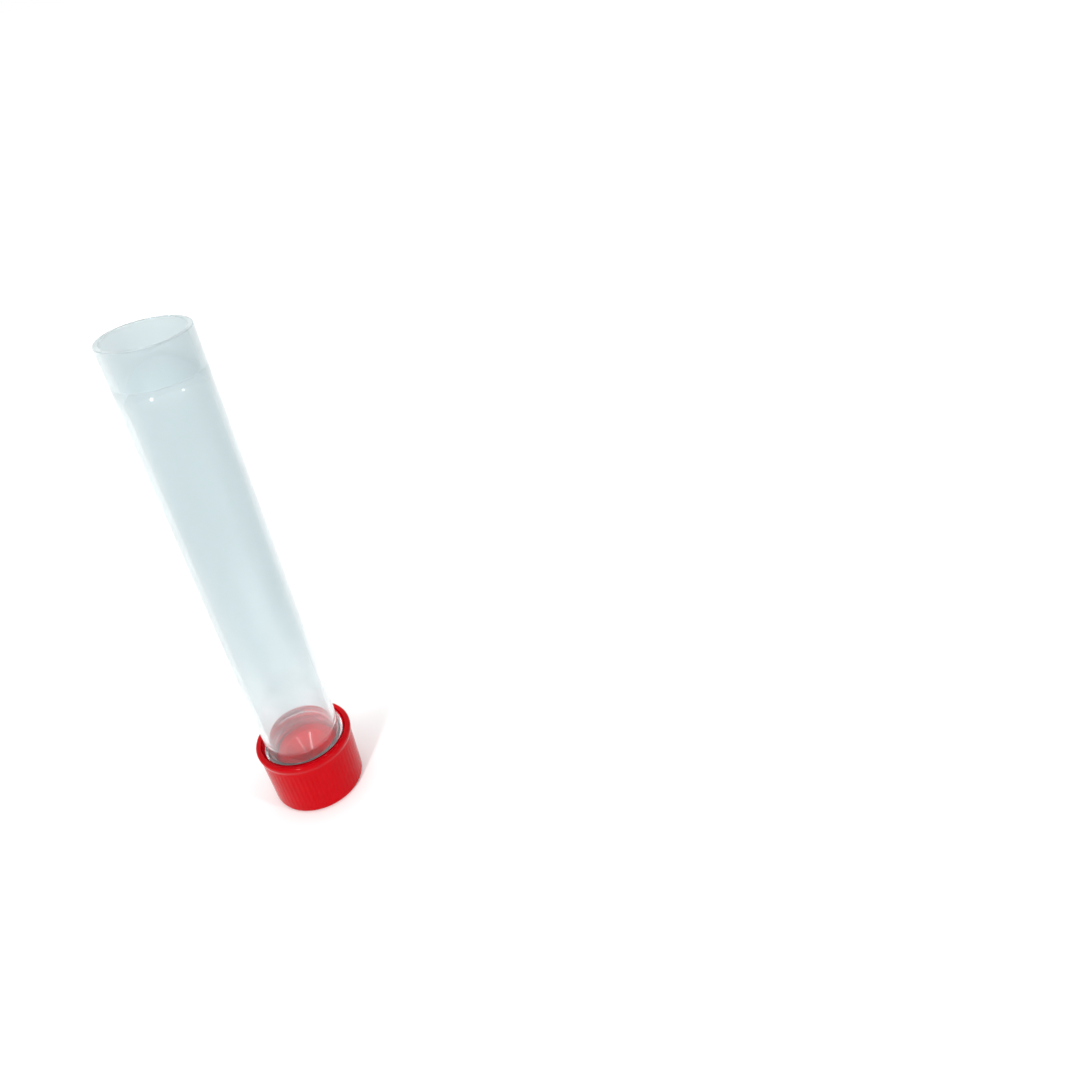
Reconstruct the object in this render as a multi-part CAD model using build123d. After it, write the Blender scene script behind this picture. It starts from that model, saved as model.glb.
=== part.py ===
from build123d import *
from math import cos, radians, sin, sqrt, tan
import os

# A skirted sample tube with a screw cap, standing upside down on its cap.
# Millimetres. The origin is the centre of the cap's closed face, and +Z runs up the
# tube's axis to the skirt's foot, which is at the top in this pose.

# --- Driving dimensions -------------------------------------------------------------
overall_height = 106.0      # cap's closed face to the skirt's foot
clearance = 0.02            # gap between faces that only rest on each other

body_radius = 8.0           # outside of the tube, from the shoulder to the foot
neck_radius = 7.8           # threaded neck, from the mouth to the shoulder
neck_length = 13.4
wall = 1.0                  # wall of the body and of the skirt
lip_chamfer = 0.35          # both edges of the mouth
foot_round = 0.2            # both edges of the skirt's foot
floor_depth = 11.2          # from the foot to where the round floor leaves the bore
floor_thickness = 0.8
gate_radius = 0.9           # moulding gate left at the middle of the floor
gate_height = 0.5

cap_height = 14.3
cap_base_radius = 9.7       # ribbed barrel, at the closed end
cap_barrel_radius = 9.95    # ribbed barrel, where the plain rim band begins
cap_rim_radius = 10.25      # plain band round the open end
rim_band = 2.0              # height of that band
cap_edge_round = 1.2        # round edge of the closed end
rim_round = 0.5             # round lip of the open end
roof = 1.6                  # thickness of the closed end
cap_bore_radius = 8.95      # inside wall of the cap, between the threads
rib_count = 60
rib_depth = 0.1             # depth of the grooves between the ribs
rib_groove_radius = 0.36    # round section of each groove

plug_radius = 6.93          # sealing bead, which fits the tube's bore
plug_waist_radius = 6.7     # plug below the bead
plug_tip = 11.3             # height of the plug's front face
plug_round = 0.8            # round nose of the plug
recess_top_radius = 4.35    # conical hollow in the middle of the plug
recess_slope = 52           # degrees its wall leans from the level
recess_bowl = 1.5           # radius of the round bottom of the hollow

seal_thickness = 1.0        # soft ring between the roof and the mouth
seal_inner_radius = 6.85
seal_outer_radius = 8.6

thread_pitch = 2.5          # right-handed, one start
thread_turns = 3.2
thread_start_angle = 80     # where both ridges begin, in degrees round Z from X
neck_thread_start = 4.3     # mouth to the middle of the first turn of the neck's ridge
neck_crest_radius = 8.6
neck_root_width = 1.25
neck_crest_width = 0.5
cap_thread_turns = 2.2
cap_crest_radius = 8.1
cap_root_width = 1.1
cap_crest_width = 0.45
thread_play = 0.15          # gap between the flanks that bear when the cap is tight
thread_bite = 0.3           # how far each ridge is buried in its wall

# --- Heights worked out from them ---------------------------------------------------
seal_bottom = roof + clearance
seal_top = seal_bottom + seal_thickness
mouth = seal_top + clearance
foot = overall_height
bore_radius = body_radius - wall
floor_start = foot - floor_depth
shoulder = mouth + neck_length


def lathe(outline):
    """Turn a closed outline of lines and arcs, drawn as (radius, height), round Z."""
    return revolve(Plane.XZ * make_face(outline), Axis.Z, 360)


def ridge(root_radius, crest_radius, root_width, crest_width, turns, start):
    """Right-handed helical ridge of trapezoid section, buried a little in its wall."""
    outwards = 1 if crest_radius > root_radius else -1
    buried_radius = root_radius - outwards * thread_bite
    section = Polyline(
        (buried_radius, -root_width / 2),
        (root_radius, -root_width / 2),
        (crest_radius, -crest_width / 2),
        (crest_radius, crest_width / 2),
        (root_radius, root_width / 2),
        (buried_radius, root_width / 2),
        close=True,
    )
    path = Helix(thread_pitch, turns * thread_pitch, root_radius)
    swept = sweep(Plane.XZ * make_face(section), path, is_frenet=True)
    return Pos(0, 0, start) * Rot(0, 0, thread_start_angle) * swept


def make_tube():
    """Body, mouth, threaded neck, round floor and skirt, moulded as one piece."""
    lip_top = mouth + lip_chamfer
    slope_top = shoulder + body_radius - neck_radius
    outer_dome = bore_radius + floor_thickness
    web = floor_start + sqrt(outer_dome**2 - bore_radius**2)
    inside_tip = floor_start + bore_radius
    outside_tip = floor_start + outer_dome
    diagonal = sqrt(0.5)
    half = bore_radius / 2
    outline = [
        Line((bore_radius, floor_start), (bore_radius, lip_top)),
        Line((bore_radius, lip_top), (bore_radius + lip_chamfer, mouth)),
        Line((bore_radius + lip_chamfer, mouth), (neck_radius - lip_chamfer, mouth)),
        Line((neck_radius - lip_chamfer, mouth), (neck_radius, lip_top)),
        Line((neck_radius, lip_top), (neck_radius, shoulder)),
        Line((neck_radius, shoulder), (body_radius, slope_top)),
        Line((body_radius, slope_top), (body_radius, foot - foot_round)),
        RadiusArc((body_radius, foot - foot_round), (body_radius - foot_round, foot), -foot_round),
        Line((body_radius - foot_round, foot), (bore_radius + foot_round, foot)),
        RadiusArc((bore_radius + foot_round, foot), (bore_radius, foot - foot_round), -foot_round),
        Line((bore_radius, foot - foot_round), (bore_radius, web)),
        ThreePointArc(
            (bore_radius, web),
            (half, floor_start + sqrt(outer_dome**2 - half**2)),
            (0, outside_tip),
        ),
        Line((0, outside_tip), (0, inside_tip)),
        ThreePointArc(
            (0, inside_tip),
            (bore_radius * diagonal, floor_start + bore_radius * diagonal),
            (bore_radius, floor_start),
        ),
    ]
    shell = lathe(outline)
    gate_root = outside_tip - floor_thickness / 2
    gate_top = outside_tip + gate_height
    gate = Pos(0, 0, (gate_root + gate_top) / 2) * Cylinder(gate_radius, gate_top - gate_root)
    neck_thread = ridge(
        neck_radius,
        neck_crest_radius,
        neck_root_width,
        neck_crest_width,
        thread_turns,
        mouth + neck_thread_start,
    )
    return shell + gate + neck_thread


def cap_thread_offset():
    """Height of the cap's ridge above the neck's, with their bearing flanks thread_play apart."""
    middle = (neck_crest_radius + cap_crest_radius) / 2
    neck_share = (neck_crest_radius - middle) / (neck_crest_radius - neck_radius)
    neck_width = neck_crest_width + (neck_root_width - neck_crest_width) * neck_share
    cap_share = (middle - cap_crest_radius) / (cap_bore_radius - cap_crest_radius)
    cap_width = cap_crest_width + (cap_root_width - cap_crest_width) * cap_share
    return (neck_width + cap_width) / 2 + thread_play


def grip_grooves():
    """Round-bottomed grooves that leave fine ribs round the cap's barrel."""
    bottom = cap_edge_round
    top = cap_height - rim_band
    sink = rib_groove_radius - rib_depth
    start = (cap_base_radius + sink, 0, bottom)
    end = (cap_barrel_radius + sink, 0, top)
    section = Plane(start, z_dir=Vector(*end) - Vector(*start)) * Circle(rib_groove_radius)
    groove = sweep(section, Line(start, end))
    lower_end = Pos(*start) * Sphere(rib_groove_radius)
    one = groove + lower_end
    return [Rot(0, 0, i * 360 / rib_count) * one for i in range(rib_count)]


def make_cap():
    """Ribbed shell, inside thread and central sealing plug, moulded as one piece."""
    band_bottom = cap_height - rim_band
    band_slope = cap_rim_radius - cap_barrel_radius
    edge = cap_edge_round
    corner = edge * (1 - sqrt(0.5))
    waist_top = plug_tip - 3 * plug_round
    lean = radians(recess_slope)
    cone_top = plug_tip - plug_round / 2
    bowl_radius = recess_bowl * sin(lean)
    bowl_top = cone_top - (recess_top_radius - bowl_radius) * tan(lean)
    bowl_centre = bowl_top + recess_bowl * cos(lean)
    bowl_bottom = bowl_centre - recess_bowl
    outline = [
        Line((0, 0), (cap_base_radius - edge, 0)),
        ThreePointArc(
            (cap_base_radius - edge, 0),
            (cap_base_radius - corner, corner),
            (cap_base_radius, edge),
        ),
        Line((cap_base_radius, edge), (cap_barrel_radius, band_bottom)),
        Line((cap_barrel_radius, band_bottom), (cap_rim_radius, band_bottom + band_slope)),
        Line((cap_rim_radius, band_bottom + band_slope), (cap_rim_radius, cap_height - rim_round)),
        RadiusArc(
            (cap_rim_radius, cap_height - rim_round),
            (cap_rim_radius - rim_round, cap_height),
            -rim_round,
        ),
        Line((cap_rim_radius - rim_round, cap_height), (cap_bore_radius + rim_round / 2, cap_height)),
        Line((cap_bore_radius + rim_round / 2, cap_height), (cap_bore_radius, cap_height - rim_round / 2)),
        Line((cap_bore_radius, cap_height - rim_round / 2), (cap_bore_radius, roof)),
        Line((cap_bore_radius, roof), (plug_waist_radius, roof)),
        Line((plug_waist_radius, roof), (plug_waist_radius, waist_top)),
        Line((plug_waist_radius, waist_top), (plug_radius, waist_top + plug_round)),
        Line((plug_radius, waist_top + plug_round), (plug_radius, plug_tip - plug_round)),
        RadiusArc((plug_radius, plug_tip - plug_round), (plug_radius - plug_round, plug_tip), -plug_round),
        Line((plug_radius - plug_round, plug_tip), (recess_top_radius + plug_round / 2, plug_tip)),
        RadiusArc(
            (recess_top_radius + plug_round / 2, plug_tip),
            (recess_top_radius, cone_top),
            -plug_round / 2,
        ),
        Line((recess_top_radius, cone_top), (bowl_radius, bowl_top)),
        ThreePointArc(
            (bowl_radius, bowl_top),
            (recess_bowl * sin(lean / 2), bowl_centre - recess_bowl * cos(lean / 2)),
            (0, bowl_bottom),
        ),
        Line((0, bowl_bottom), (0, 0)),
    ]
    shell = lathe(outline)
    inside_thread = ridge(
        cap_bore_radius,
        cap_crest_radius,
        cap_root_width,
        cap_crest_width,
        cap_thread_turns,
        mouth + neck_thread_start + cap_thread_offset(),
    )
    return (shell - grip_grooves()) + inside_thread


def make_seal_ring():
    """Soft flat ring round the plug, which the mouth presses on the cap's roof."""
    ring = Cylinder(seal_outer_radius, seal_thickness) - Cylinder(seal_inner_radius, seal_thickness)
    return Pos(0, 0, (seal_bottom + seal_top) / 2) * ring


os.makedirs("parts", exist_ok=True)
nodes = {
    "tube": make_tube(),
    "cap": make_cap(),
    "seal_ring": make_seal_ring(),
}
for name, solid in nodes.items():
    export_step(solid, f"parts/{name}.step")
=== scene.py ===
from math import atan2, cos, degrees, hypot, pi, radians, sin, sqrt, tan

import bpy
from mathutils import Matrix, Vector


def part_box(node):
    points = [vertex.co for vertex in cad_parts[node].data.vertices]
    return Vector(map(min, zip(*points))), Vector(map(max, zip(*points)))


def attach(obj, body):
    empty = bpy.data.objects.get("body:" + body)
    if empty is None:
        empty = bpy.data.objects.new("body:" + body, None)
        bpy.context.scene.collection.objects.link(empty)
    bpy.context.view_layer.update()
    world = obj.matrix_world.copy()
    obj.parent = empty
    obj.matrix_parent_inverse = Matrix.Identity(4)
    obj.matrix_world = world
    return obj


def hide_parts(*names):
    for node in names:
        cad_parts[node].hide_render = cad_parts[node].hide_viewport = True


# A screw-cap sample tube standing upside down on its cap. Everything is in metres, in the
# frame of the CAD model: +Z runs up the tube's axis from the cap's closed face.

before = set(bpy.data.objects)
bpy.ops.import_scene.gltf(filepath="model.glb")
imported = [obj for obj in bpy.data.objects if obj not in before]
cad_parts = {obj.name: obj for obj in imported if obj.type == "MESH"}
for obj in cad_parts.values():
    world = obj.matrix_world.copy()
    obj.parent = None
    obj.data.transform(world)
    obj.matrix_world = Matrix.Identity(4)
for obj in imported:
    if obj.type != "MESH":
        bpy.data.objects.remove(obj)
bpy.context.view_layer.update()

MM = 0.001
tube_low, tube_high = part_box("tube")
cap_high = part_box("cap")[1]
seal_low, seal_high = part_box("seal_ring")

# --- Sizes --------------------------------------------------------------------------
# Heights and outer radii come from the frame.
mouth = tube_low.z
foot = tube_high.z
rim = cap_high.z
rim_radius = cap_high.x
neck_crest_radius = tube_high.x

# Tube
body_radius = 8.0 * MM
bore_radius = 7.0 * MM
neck_radius = 7.8 * MM
shoulder = mouth + 13.4 * MM
lip_round = 0.35 * MM
foot_round = 0.2 * MM
floor_start = foot - 11.2 * MM
floor_thickness = 0.8 * MM
floor_fillet = 0.2 * MM
gate_radius = 0.9 * MM
gate_height = 0.5 * MM
gate_round = 0.15 * MM

# Thread, right-handed
pitch = 2.5 * MM
neck_thread_start = mouth + 4.3 * MM
neck_thread_turns = 3.2
neck_thread_root = 1.25 * MM
neck_thread_crest = 0.5 * MM
cap_thread_start = neck_thread_start + 0.85 * MM  # the bearing flanks nearly meet
cap_thread_turns = 2.2
cap_thread_height = 0.85 * MM
cap_thread_root = 1.1 * MM
cap_thread_crest = 0.45 * MM
thread_start_angle = radians(80)
thread_fade = radians(45)

# Cap
base_radius = 9.7 * MM
barrel_radius = 9.95 * MM
band_bottom = rim - 2.0 * MM
edge_round = 1.2 * MM
rim_round = 0.5 * MM
roof = 1.6 * MM
bore_round = 0.3 * MM
cap_bore_radius = 8.95 * MM
rib_count = 60
rib_depth = 0.035 * MM
groove_fade = 0.6 * MM
plug_radius = 6.93 * MM
plug_waist_radius = 6.7 * MM
plug_tip = 11.3 * MM
plug_round = 0.8 * MM
recess_top_radius = 4.35 * MM
recess_slope = radians(52.0)
recess_bowl = 1.5 * MM

# Seal ring
seal_round = 0.18 * MM
seal_inner_radius = 6.85 * MM

# Fineness of the meshes
TUBE_COLUMNS = 240
CAP_COLUMNS = 8 * rib_count
THREAD_STEP = 0.1 * MM
GUARD = 0.1 * MM
ON_AXIS = 1e-4 * MM


# --- Outlines of turned pieces --------------------------------------------------------
# An outline is a list of rings, each (radius, height, surface, columns).


def arc(centre, radius, start, end, steps, surface, columns):
    """Rings along a circular arc from one angle to another, in degrees."""
    rings = []
    for i in range(steps + 1):
        angle = radians(start + (end - start) * i / steps)
        r = centre[0] + radius * cos(angle)
        rings.append((max(r, 0.0), centre[1] + radius * sin(angle), surface, columns))
    return rings


def wall(start, end, steps, surface, columns):
    """Rings along a straight line, with guard rings close to its ends to keep its shading flat."""
    length = hypot(end[0] - start[0], end[1] - start[1])
    edge = GUARD / length
    guards = [edge, 2 * edge] if length > 6 * GUARD else [edge]
    shares = list(guards)
    shares += [i / steps for i in range(1, steps) if guards[-1] < i / steps < 1 - guards[-1]]
    shares += [1 - guard for guard in reversed(guards)]
    rings = []
    for share in shares:
        r = start[0] + (end[0] - start[0]) * share
        z = start[1] + (end[1] - start[1]) * share
        rings.append((r, z, surface, columns))
    return rings


def smooth(x):
    """0 below 0, 1 above 1 and a soft step between."""
    x = max(0.0, min(1.0, x))
    return x * x * (3 - 2 * x)


def soft_step(start, end, steps, surface, columns):
    """Rings along an S-shaped change of radius, from one height to another."""
    rings = []
    for i in range(steps + 1):
        share = i / steps
        r = start[0] + (end[0] - start[0]) * smooth(share)
        rings.append((r, start[1] + (end[1] - start[1]) * share, surface, columns))
    return rings


def threaded(radius, top, bottom, surface, columns):
    """Rings down a wall that carries a ridge, close enough together to show it."""
    rings = []
    steps = round((top - bottom) / THREAD_STEP)
    for i in range(steps + 1):
        rings.append((radius, top + (bottom - top) * i / steps, surface, columns))
    return rings


def ridge(angle, height, start, turns, root, crest):
    """Height of a helical ridge at a point, from 0 beside it to 1 on its crest."""
    past_start = (angle - thread_start_angle) % (2 * pi)
    turn = (height - start) / pitch - past_start / (2 * pi)
    nearest = round(turn)
    along = nearest * 2 * pi + past_start
    end = turns * 2 * pi
    if not 0 < along < end:
        return 0.0
    away = abs(turn - nearest) * pitch
    flank = (root / 2 - away) / (root / 2 - crest / 2)
    fade = min(along, end - along) / thread_fade
    return smooth(flank) * smooth(fade)


def relief(surface, angle, height):
    """How far a point stands out from the plain outline of its surface."""
    if surface == "neck":
        share = ridge(angle, height, neck_thread_start, neck_thread_turns,
                      neck_thread_root, neck_thread_crest)
        return (neck_crest_radius - neck_radius) * share
    if surface == "cap_bore":
        share = ridge(angle, height, cap_thread_start, cap_thread_turns,
                      cap_thread_root, cap_thread_crest)
        return -cap_thread_height * share
    if surface == "barrel":
        # grooves a little narrower than the ribs between them
        groove = (0.5 - 0.5 * cos(rib_count * angle)) ** 1.5
        run_in = smooth((height - 0.5 * edge_round) / edge_round)
        run_out = smooth((band_bottom - height) / groove_fade)
        return -rib_depth * groove * run_in * run_out
    return 0.0


def bridge(a, b):
    """Faces between two rings. A ring may be one point, or have half the other's columns."""
    if len(a) == 1:
        n = len(b)
        return [(a[0], b[i], b[(i + 1) % n]) for i in range(n)]
    if len(b) == 1:
        n = len(a)
        return [(a[(i + 1) % n], a[i], b[0]) for i in range(n)]
    if len(a) == len(b):
        n = len(a)
        return [(a[(i + 1) % n], a[i], b[i], b[(i + 1) % n]) for i in range(n)]
    if len(a) > len(b):
        n = len(b)
        return [
            (a[(2 * i + 2) % len(a)], a[2 * i + 1], a[2 * i], b[i], b[(i + 1) % n])
            for i in range(n)
        ]
    n = len(a)
    return [
        (a[(i + 1) % n], a[i], b[2 * i], b[2 * i + 1], b[(2 * i + 2) % len(b)])
        for i in range(n)
    ]


def turned(name, outline, closed=False):
    """Mesh of revolution round Z. A closed outline has no ends on the axis, as in a ring."""
    vertices = []
    rings = []
    for radius, height, surface, columns in outline:
        first = len(vertices)
        if radius < ON_AXIS:
            vertices.append((0.0, 0.0, height))
            rings.append([first])
            continue
        for i in range(columns):
            angle = 2 * pi * i / columns
            r = radius + relief(surface, angle, height)
            vertices.append((r * cos(angle), r * sin(angle), height))
        rings.append(list(range(first, first + columns)))
    faces = []
    following = rings[1:] + rings[:1] if closed else rings[1:]
    for a, b in zip(rings, following):
        faces += bridge(a, b)
    mesh = bpy.data.meshes.new(name)
    mesh.from_pydata(vertices, [], faces)
    mesh.validate()
    mesh.shade_smooth()
    piece = bpy.data.objects.new(name, mesh)
    bpy.context.scene.collection.objects.link(piece)
    return piece


def tube_outline():
    """From the gate over the floor and skirt, down the outside to the mouth and up the bore."""
    n = TUBE_COLUMNS
    inner = bore_radius
    outer = bore_radius + floor_thickness
    # gate
    gate_foot = floor_start + sqrt(outer**2 - (gate_radius + gate_round) ** 2)
    gate_top = floor_start + outer + gate_height
    rings = [(0.0, gate_top, "gate", n)]
    rings += wall((0.0, gate_top), (gate_radius - gate_round, gate_top), 2, "gate", n)
    rings += arc((gate_radius - gate_round, gate_top - gate_round), gate_round, 90, 0, 4, "gate", n)
    rings += arc((gate_radius + gate_round, gate_foot + gate_round), gate_round, 180, 265, 4, "gate", n)
    # outside of the floor, and its fillet against the skirt
    fillet_radius = bore_radius - floor_fillet
    fillet_height = floor_start + sqrt((outer + floor_fillet) ** 2 - fillet_radius**2)
    lean = degrees(atan2(fillet_height - floor_start, fillet_radius))
    rings += arc((0.0, floor_start), outer, 80, lean + 1, 16, "floor", n)
    rings += arc((fillet_radius, fillet_height), floor_fillet, lean + 180, 360, 7, "floor", n)
    # skirt
    rings += wall((bore_radius, fillet_height), (bore_radius, foot - foot_round), 4, "skirt", n)
    rings += arc((bore_radius + foot_round, foot - foot_round), foot_round, 180, 90, 4, "skirt", n)
    rings += wall((bore_radius + foot_round, foot), (body_radius - foot_round, foot), 2, "skirt", n)
    rings += arc((body_radius - foot_round, foot - foot_round), foot_round, 90, 0, 4, "skirt", n)
    # outside, down to the shoulder
    slope = body_radius - neck_radius
    rings += wall((body_radius, foot - foot_round), (body_radius, shoulder + slope), 12, "body", n)
    rings += wall((body_radius, shoulder + slope), (neck_radius, shoulder), 2, "body", n)
    # threaded neck
    neck_bottom = neck_thread_start - neck_thread_root
    rings += threaded(neck_radius, shoulder - GUARD, neck_bottom, "neck", n)
    rings += wall((neck_radius, neck_bottom), (neck_radius, mouth + lip_round), 2, "lip", n)
    # mouth and bore
    rings += arc((neck_radius - lip_round, mouth + lip_round), lip_round, 0, -90, 5, "lip", n)
    rings += arc((bore_radius + lip_round, mouth + lip_round), lip_round, 270, 180, 5, "lip", n)
    rings += wall((bore_radius, mouth + lip_round), (bore_radius, floor_start), 12, "bore", n)
    # inside of the floor
    rings += arc((0.0, floor_start), inner, 0, 90, 24, "floor", n)
    return rings


def cap_outline():
    """From the closed face round the edge, up the barrel and over the rim, then inside to the plug."""
    n = CAP_COLUMNS
    half = CAP_COLUMNS // 2
    quarter = CAP_COLUMNS // 4
    # closed face and its edge
    rings = [(0.0, 0.0, "face", quarter)]
    rings += wall((0.0, 0.0), (base_radius - edge_round, 0.0), 4, "face", quarter)
    # columns at most double from one ring to the next
    rings[-1] = rings[-1][:3] + (half,)
    rings += arc((base_radius - edge_round, edge_round), edge_round, -90, 0, 10, "barrel", n)
    # ribbed barrel
    rings += wall((base_radius, edge_round), (barrel_radius, band_bottom), 16, "barrel", n)
    # smooth band, flared a little, and the rim
    flare_top = band_bottom + 4 * (rim_radius - barrel_radius)
    rings += soft_step((barrel_radius, band_bottom), (rim_radius, flare_top), 6, "band", n)
    rings += wall((rim_radius, flare_top), (rim_radius, rim - rim_round), 2, "band", half)
    rings += arc((rim_radius - rim_round, rim - rim_round), rim_round, 0, 90, 8, "rim", half)
    rings += wall((rim_radius - rim_round, rim), (cap_bore_radius + bore_round, rim), 2, "rim", half)
    rings += arc((cap_bore_radius + bore_round, rim - bore_round), bore_round, 90, 180, 5, "rim", half)
    # inside wall with its thread
    thread_top = cap_thread_start + cap_thread_turns * pitch + cap_thread_root
    thread_bottom = cap_thread_start - cap_thread_root
    rings += wall((cap_bore_radius, rim - bore_round), (cap_bore_radius, thread_top), 2, "wall", half)
    rings += threaded(cap_bore_radius, thread_top, thread_bottom, "cap_bore", half)
    rings += wall((cap_bore_radius, thread_bottom), (cap_bore_radius, roof + bore_round), 3, "wall", half)
    # roof
    rings += arc((cap_bore_radius - bore_round, roof + bore_round), bore_round, 0, -90, 4, "roof", half)
    rings += wall((cap_bore_radius - bore_round, roof), (plug_waist_radius, roof), 2, "roof", half)
    # plug, with its sealing bead
    bead_bottom = plug_tip - 3 * plug_round
    bead_top = bead_bottom + plug_round
    rings += wall((plug_waist_radius, roof), (plug_waist_radius, bead_bottom), 4, "plug", half)
    rings += soft_step((plug_waist_radius, bead_bottom), (plug_radius, bead_top), 6, "plug", half)
    rings += wall((plug_radius, bead_top), (plug_radius, plug_tip - plug_round), 2, "plug", half)
    rings += arc((plug_radius - plug_round, plug_tip - plug_round), plug_round, 0, 90, 8, "plug", half)
    nose = recess_top_radius + plug_round / 2
    rings += wall((plug_radius - plug_round, plug_tip), (nose, plug_tip), 2, "plug", half)
    rings += arc((nose, plug_tip - plug_round / 2), plug_round / 2, 90, 180, 6, "plug", half)
    # recess in the plug
    cone_top = plug_tip - plug_round / 2
    bowl_radius = recess_bowl * sin(recess_slope)
    bowl_top = cone_top - (recess_top_radius - bowl_radius) * tan(recess_slope)
    bowl_centre = bowl_top + recess_bowl * cos(recess_slope)
    rings += wall((recess_top_radius, cone_top), (bowl_radius, bowl_top), 6, "recess", half)
    rings += arc((0.0, bowl_centre), recess_bowl, degrees(recess_slope) - 90, -90, 10, "recess", quarter)
    return rings


def seal_outline():
    """Round-edged flat ring."""
    n = TUBE_COLUMNS
    low = seal_low.z
    high = seal_high.z
    outer = seal_high.x
    r = seal_round
    rings = arc((outer - r, low + r), r, -90, 0, 4, "seal", n)
    rings += wall((outer, low + r), (outer, high - r), 2, "seal", n)
    rings += arc((outer - r, high - r), r, 0, 90, 4, "seal", n)
    rings += wall((outer - r, high), (seal_inner_radius + r, high), 3, "seal", n)
    rings += arc((seal_inner_radius + r, high - r), r, 90, 180, 4, "seal", n)
    rings += wall((seal_inner_radius, high - r), (seal_inner_radius, low + r), 2, "seal", n)
    rings += arc((seal_inner_radius + r, low + r), r, 180, 270, 4, "seal", n)
    rings += wall((seal_inner_radius + r, low), (outer - r, low), 3, "seal", n)
    return rings


# --- Materials ------------------------------------------------------------------------


def new_material(name):
    """A material with a Principled shader, and the shader."""
    material = bpy.data.materials.new(name)
    material.use_nodes = True
    return material, material.node_tree.nodes["Principled BSDF"]


def noise(material, scale, detail=3.0, stretch=(1.0, 1.0, 1.0)):
    """Noise in the piece's own space. scale is in features a metre."""
    nodes = material.node_tree.nodes
    links = material.node_tree.links
    place = nodes.new("ShaderNodeTexCoord")
    mapping = nodes.new("ShaderNodeMapping")
    mapping.inputs["Scale"].default_value = stretch
    texture = nodes.new("ShaderNodeTexNoise")
    texture.inputs["Scale"].default_value = scale
    texture.inputs["Detail"].default_value = detail
    links.new(place.outputs["Object"], mapping.inputs["Vector"])
    links.new(mapping.outputs["Vector"], texture.inputs["Vector"])
    return texture.outputs["Fac"]


def spread(material, source, low, high):
    """Map a noise, which mostly lies between 0.3 and 0.7, to numbers from low to high."""
    node = material.node_tree.nodes.new("ShaderNodeMapRange")
    node.inputs["From Min"].default_value = 0.3
    node.inputs["From Max"].default_value = 0.7
    node.inputs["To Min"].default_value = low
    node.inputs["To Max"].default_value = high
    material.node_tree.links.new(source, node.inputs["Value"])
    return node.outputs["Result"]


def total(material, first, second):
    """Sum of two values."""
    node = material.node_tree.nodes.new("ShaderNodeMath")
    node.operation = "ADD"
    material.node_tree.links.new(first, node.inputs[0])
    material.node_tree.links.new(second, node.inputs[1])
    return node.outputs["Value"]


def scaled(material, source, factor):
    """A value times a constant."""
    node = material.node_tree.nodes.new("ShaderNodeMath")
    node.operation = "MULTIPLY"
    material.node_tree.links.new(source, node.inputs[0])
    node.inputs[1].default_value = factor
    return node.outputs["Value"]


def tint(material, source, dark, light):
    """Map a noise to colours from dark to light."""
    node = material.node_tree.nodes.new("ShaderNodeMix")
    node.data_type = "RGBA"
    node.inputs["A"].default_value = (*dark, 1.0)
    node.inputs["B"].default_value = (*light, 1.0)
    material.node_tree.links.new(spread(material, source, 0.0, 1.0), node.inputs["Factor"])
    return node.outputs["Result"]


def bump(material, shader, source, height):
    """Raise the surface by a noise, up to a height in metres."""
    node = material.node_tree.nodes.new("ShaderNodeBump")
    node.inputs["Distance"].default_value = height
    node.inputs["Strength"].default_value = 1.0
    material.node_tree.links.new(source, node.inputs["Height"])
    material.node_tree.links.new(node.outputs["Normal"], shader.inputs["Normal"])


def axis_place(material, axis):
    """How far along one axis of the CAD frame each point of the surface is, in metres."""
    nodes = material.node_tree.nodes
    place = nodes.new("ShaderNodeTexCoord")
    split = nodes.new("ShaderNodeSeparateXYZ")
    material.node_tree.links.new(place.outputs["Object"], split.inputs["Vector"])
    return split.outputs[axis]


def ramp(material, source, start, end, first, last):
    """A number that eases from first to last while source goes from start to end."""
    node = material.node_tree.nodes.new("ShaderNodeMapRange")
    node.interpolation_type = "SMOOTHSTEP"
    node.inputs["From Min"].default_value = start
    node.inputs["From Max"].default_value = end
    node.inputs["To Min"].default_value = first
    node.inputs["To Max"].default_value = last
    material.node_tree.links.new(source, node.inputs["Value"])
    return node.outputs["Result"]


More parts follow.
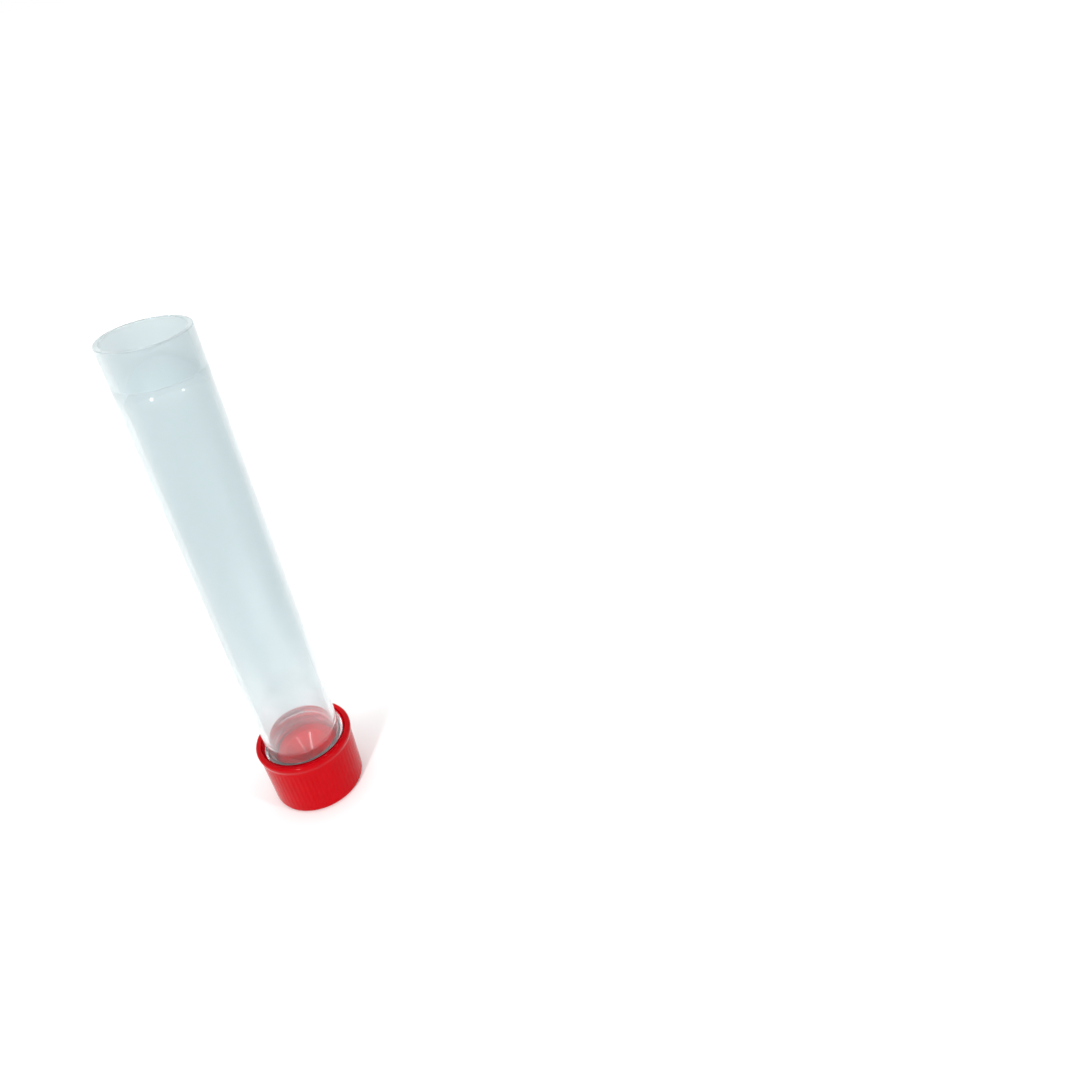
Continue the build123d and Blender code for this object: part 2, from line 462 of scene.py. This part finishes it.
def frosted_plastic():
    """Translucent polypropylene: milky walls, flow streaks, a clear throat and a slightly matt body."""
    material, shader = new_material("frosted_polypropylene")
    links = material.node_tree.links
    along = axis_place(material, "Z")
    # the matt share grows from the throat to the body, and again on the skirt, where the deeper tint that
    # it brings is painted shade of the hollow foot
    matt = ramp(material, along, shoulder + 6 * MM, shoulder + 30 * MM, 0.0, 0.2)
    skirt = ramp(material, along, floor_start, floor_start + 3.5 * MM, 0.0, 0.06)
    matt_and_foot_shade = total(material, matt, skirt)
    # the tint is paler along the flow streaks and at the throat, and deeper where matt; it is also paler
    # on the -X side, a painted highlight of the light from the left
    flow = ramp(material, noise(material, 120.0, stretch=(1.0, 1.0, 0.12)), 0.0, 1.0, 0.3, 0.7)
    # painted highlight: the tint is paler towards the -X side, where the light from the left falls
    painted_side_highlight = ramp(material, axis_place(material, "X"), -6.5 * MM, 0.0, 0.1, 0.0)
    throat = ramp(material, along, shoulder, shoulder + 8 * MM, 0.45, 0.0)
    shade = total(material, total(material, flow, painted_side_highlight), throat)
    # deeper tint where matt; on the skirt this is painted shade of the hollow foot
    shade = total(material, shade, scaled(material, matt_and_foot_shade, -0.9))
    links.new(tint(material, shade, (0.615, 0.68, 0.695), (0.85, 0.89, 0.90)),
              shader.inputs["Base Color"])
    links.new(spread(material, noise(material, 2500.0), 0.06, 0.09), shader.inputs["Roughness"])
    shader.inputs["IOR"].default_value = 1.49
    # the thread is a little less clear than the wall above it
    thread_top = neck_thread_start + neck_thread_turns * pitch
    clear = ramp(material, along, thread_top - 0.8 * MM, thread_top, 0.98, 0.995)
    links.new(total(material, clear, scaled(material, matt_and_foot_shade, -1.0)),
              shader.inputs["Transmission Weight"])
    milk = material.node_tree.nodes.new("ShaderNodeVolumeScatter")
    milk.inputs["Color"].default_value = (0.62, 0.80, 0.84, 1.0)
    milk.inputs["Density"].default_value = 110.0
    milk.inputs["Anisotropy"].default_value = 0.2
    output = material.node_tree.nodes["Material Output"]
    links.new(milk.outputs["Volume"], output.inputs["Volume"])
    return material


def red_plastic():
    """Opaque red moulding with a soft gloss."""
    material, shader = new_material("red_cap_plastic")
    links = material.node_tree.links
    cloud = noise(material, 300.0)
    grain = noise(material, 3000.0)
    links.new(tint(material, cloud, (0.40, 0.0, 0.003), (0.44, 0.0, 0.004)), shader.inputs["Base Color"])
    links.new(spread(material, cloud, 0.10, 0.14), shader.inputs["Roughness"])
    bump(material, shader, grain, 0.001 * MM)
    shader.inputs["Specular IOR Level"].default_value = 0.07
    return material


def silicone():
    """Soft off-white seal."""
    material, shader = new_material("seal_silicone")
    links = material.node_tree.links
    cloud = noise(material, 400.0)
    links.new(tint(material, cloud, (0.62, 0.62, 0.58), (0.72, 0.72, 0.68)), shader.inputs["Base Color"])
    links.new(spread(material, cloud, 0.5, 0.65), shader.inputs["Roughness"])
    bump(material, shader, noise(material, 4000.0), 0.004 * MM)
    shader.inputs["Subsurface Weight"].default_value = 0.2
    shader.inputs["Subsurface Scale"].default_value = 0.6 * MM
    return material


# --- Stage ----------------------------------------------------------------------------


def make_floor():
    """Pale floor that reaches far past the view."""
    size = 60.0
    mesh = bpy.data.meshes.new("floor")
    corners = [(-size, -size, 0), (size, -size, 0), (size, size, 0), (-size, size, 0)]
    mesh.from_pydata(corners, [], [(0, 1, 2, 3)])
    floor = bpy.data.objects.new("floor", mesh)
    bpy.context.scene.collection.objects.link(floor)
    material, shader = new_material("pale_floor")
    shader.inputs["Base Color"].default_value = (0.96, 0.96, 0.96, 1.0)
    shader.inputs["Roughness"].default_value = 0.7
    shader.inputs["Specular IOR Level"].default_value = 0.0
    mesh.materials.append(material)


def make_world(bright, dim, towards):
    """White sky that falls from bright to dim towards one side."""
    world = bpy.data.worlds.new("studio")
    bpy.context.scene.world = world
    world.use_nodes = True
    nodes = world.node_tree.nodes
    links = world.node_tree.links
    place = nodes.new("ShaderNodeTexCoord")
    along = nodes.new("ShaderNodeVectorMath")
    along.operation = "DOT_PRODUCT"
    along.inputs[1].default_value = Vector(towards).normalized()
    fall = nodes.new("ShaderNodeMapRange")
    fall.interpolation_type = "SMOOTHSTEP"
    fall.inputs["From Min"].default_value = -0.2
    fall.inputs["From Max"].default_value = 0.9
    fall.inputs["To Min"].default_value = bright
    fall.inputs["To Max"].default_value = dim
    links.new(place.outputs["Generated"], along.inputs[0])
    links.new(along.outputs["Value"], fall.inputs["Value"])
    links.new(fall.outputs["Result"], nodes["Background"].inputs["Strength"])
    nodes["Background"].inputs["Color"].default_value = (1.0, 1.0, 1.0, 1.0)


def make_sun(name, towards, strength, width):
    """Wide soft lamp very far away, in the direction given."""
    data = bpy.data.lights.new(name, "SUN")
    data.energy = strength
    data.angle = radians(width)
    # only its direct light counts, so that it lights the plug through the wall just once
    data.cycles.use_multiple_importance_sampling = False
    lamp = bpy.data.objects.new(name, data)
    lamp.visible_transmission = False
    lamp.rotation_euler = Vector(towards).to_track_quat("Z", "Y").to_euler()
    bpy.context.scene.collection.objects.link(lamp)


def make_camera():
    """High three-quarter view close to the tube, turned a little and tilted anticlockwise."""
    back = 157.3 * MM
    height = 152.2 * MM
    yaw = radians(21.44)
    pitch_down = radians(33.86)
    roll = radians(-9.42)
    lens = 30.57
    ahead = Vector((sin(yaw) * cos(pitch_down), cos(yaw) * cos(pitch_down), -sin(pitch_down)))
    right = Vector((cos(yaw), -sin(yaw), 0.0))
    up = right.cross(ahead)
    x_axis = right * cos(roll) + up * sin(roll)
    y_axis = up * cos(roll) - right * sin(roll)
    data = bpy.data.cameras.new("camera")
    data.lens = lens
    data.sensor_width = 36.0
    data.clip_start = 0.005
    data.clip_end = 20.0
    camera = bpy.data.objects.new("camera", data)
    turn = Matrix((x_axis, y_axis, -ahead)).transposed().to_4x4()
    camera.matrix_world = Matrix.Translation((0.0, -back, height)) @ turn
    bpy.context.scene.collection.objects.link(camera)
    bpy.context.scene.camera = camera


# --- Pieces ---------------------------------------------------------------------------


def add(piece, node, body, material):
    """Put a piece in place of its CAD node, on its body and with its material."""
    piece.data.materials.append(material)
    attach(piece, body)
    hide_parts(node)


make_camera()
tube = turned("tube_moulding", tube_outline())
# the thin clear wall hardly dims the lamps, so they reach the plug inside it unshaded
tube.visible_shadow = False
add(tube, "tube", "tube", frosted_plastic())
add(turned("cap_moulding", cap_outline()), "cap", "cap", red_plastic())
add(turned("seal_gasket", seal_outline(), closed=True), "seal_ring", "seal_ring", silicone())

make_floor()
make_world(1.0, 0.8, (0.4, -0.9, 0.2))
make_sun("key", (-0.53, -0.68, 0.50), 1.6, 7.0)
make_sun("fill", (0.53, -0.68, 0.50), 0.7, 7.0)
bpy.context.scene.view_settings.view_transform = "Standard"
light_paths = bpy.context.scene.cycles
light_paths.max_bounces = 32
light_paths.glossy_bounces = 32
light_paths.transmission_bounces = 32
light_paths.volume_bounces = 6
